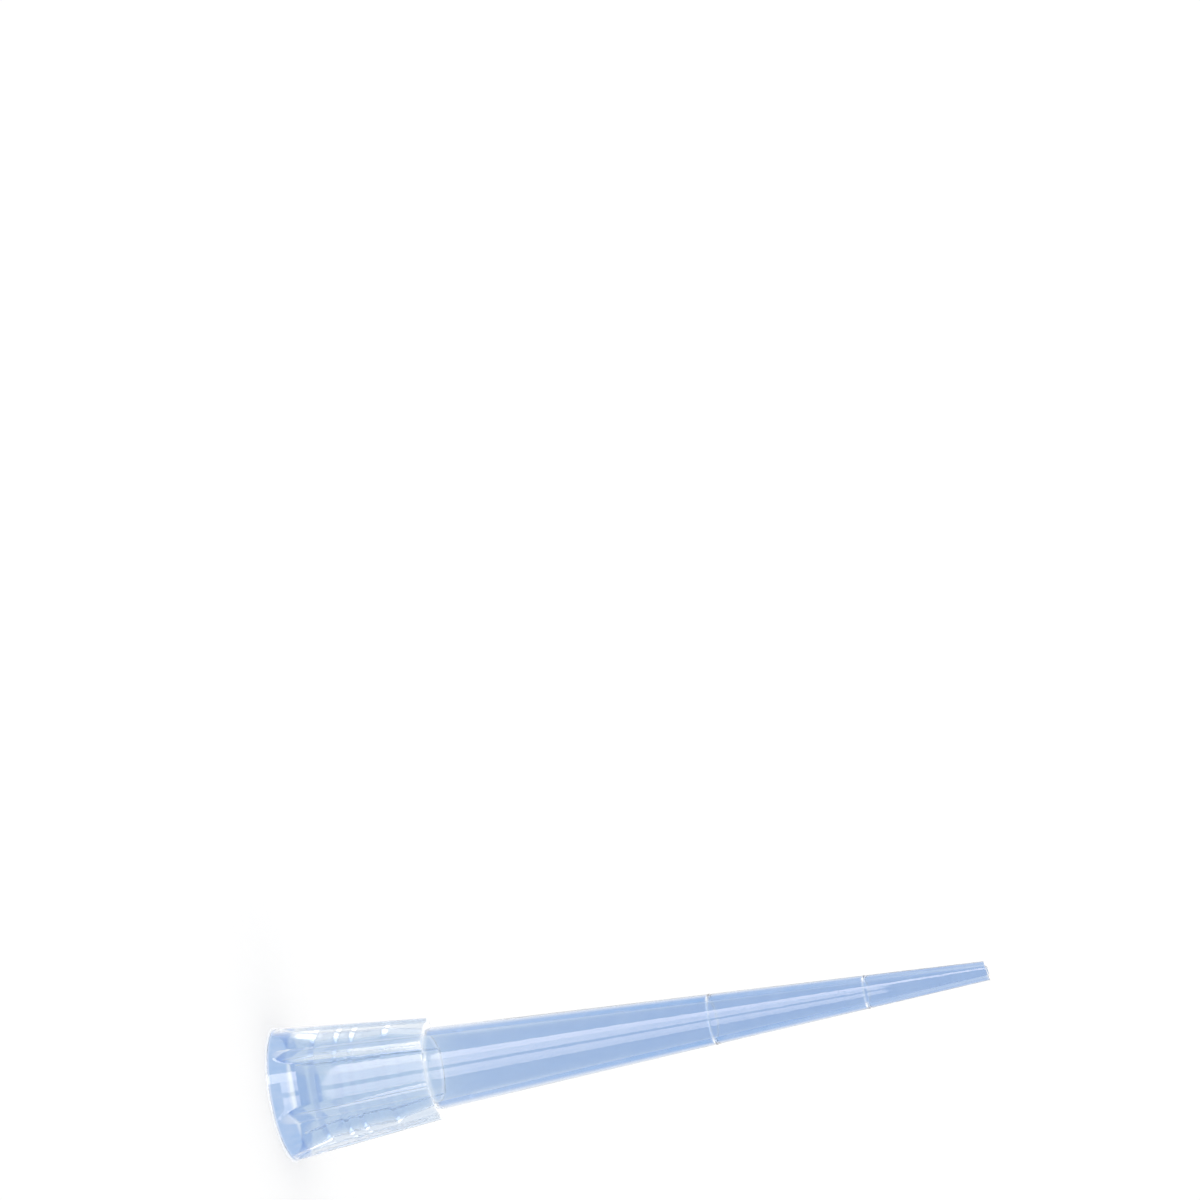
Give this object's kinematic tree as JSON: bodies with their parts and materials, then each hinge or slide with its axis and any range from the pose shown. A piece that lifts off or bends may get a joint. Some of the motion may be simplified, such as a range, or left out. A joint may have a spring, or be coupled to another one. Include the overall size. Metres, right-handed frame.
{
  "type": "pipette tip",
  "caption": "Clear moulded pipette tip for small volumes, with a flared mouth, a ribbed collar that seals on a nozzle, a long tapered body with volume rings and a fine open point.",
  "frame": {"origin": "centre of the mouth, on the plane of its rim, on which the tip stands", "axes": "+Z along the tip's axis, from the mouth to the point; +X through one of the collar's ribs, on the side where the slanted point is longest"},
  "size_m": [0.0058, 0.0058, 0.031],
  "materials": {
    "polypropylene": "natural clear polypropylene, glossy, slightly milky"
  },
  "bodies": {
    "root": {"tip": "polypropylene"}
  },
  "joints": []
}
